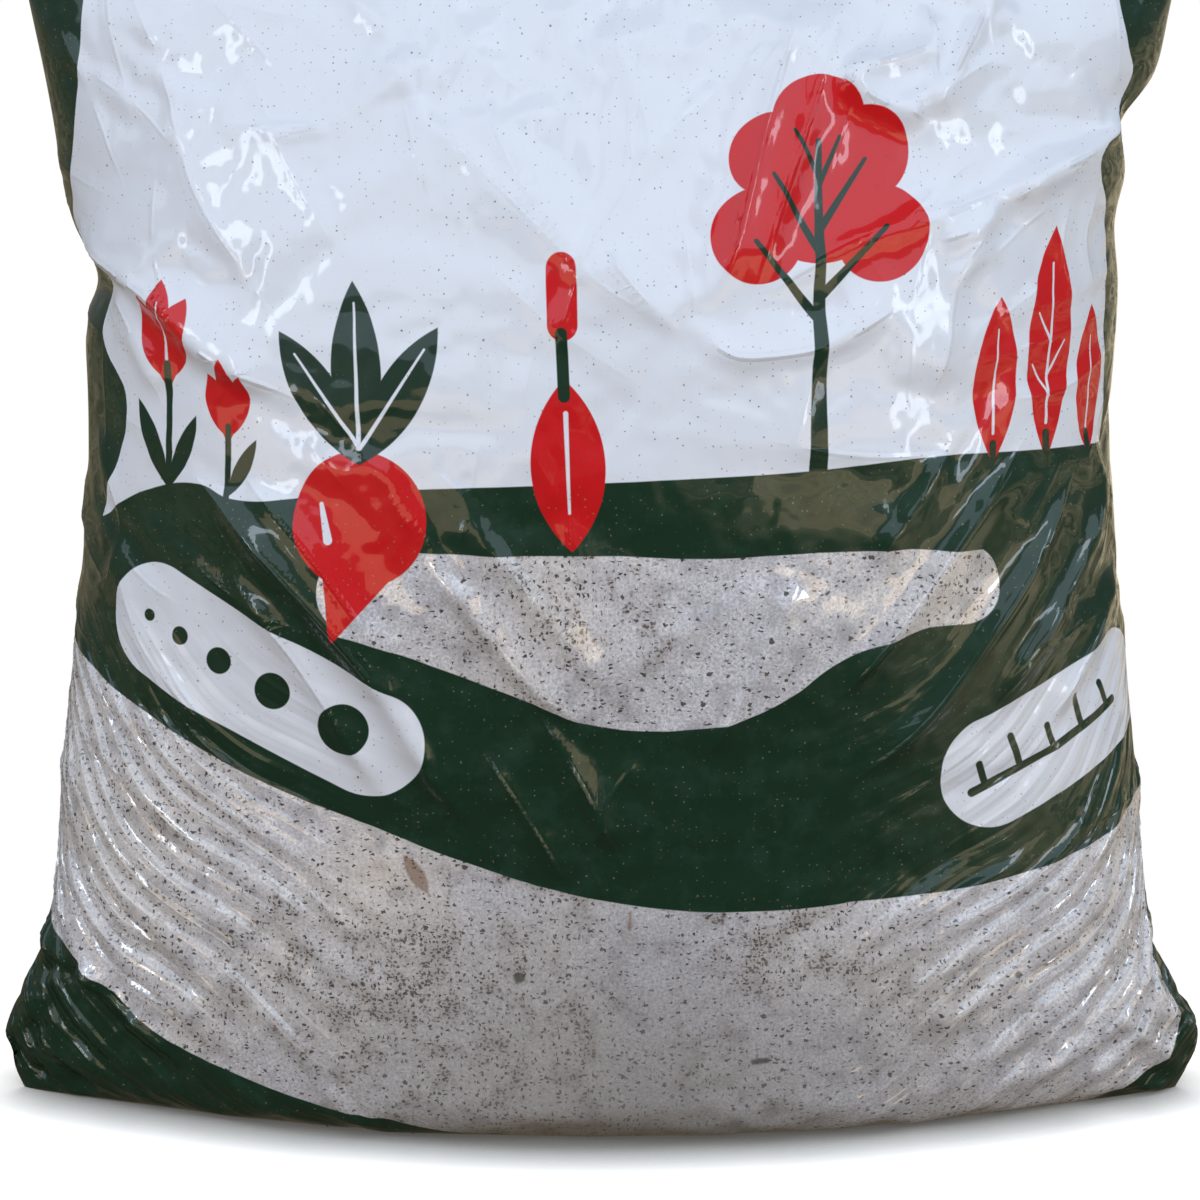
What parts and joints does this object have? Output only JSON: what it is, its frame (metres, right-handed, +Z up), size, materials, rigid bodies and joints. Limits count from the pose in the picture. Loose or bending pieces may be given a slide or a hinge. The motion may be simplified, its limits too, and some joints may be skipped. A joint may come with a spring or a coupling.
{
  "type": "bag of volcanic tuff",
  "caption": "Sealed glossy film bag of crushed volcanic tuff, standing on its base, with creased sides, puffed lower corners and a flat welded top.",
  "frame": {"origin": "middle of the bag's footprint, at floor level", "axes": "+Z up to the top weld, the bag's printed front faces -Y, and +X is to the right of someone who faces the front"},
  "size_m": [0.488, 0.1936, 0.564],
  "materials": {
    "printed_film": "glossy"
  },
  "bodies": {
    "root": {"tuff_bag": "printed_film"}
  },
  "joints": []
}
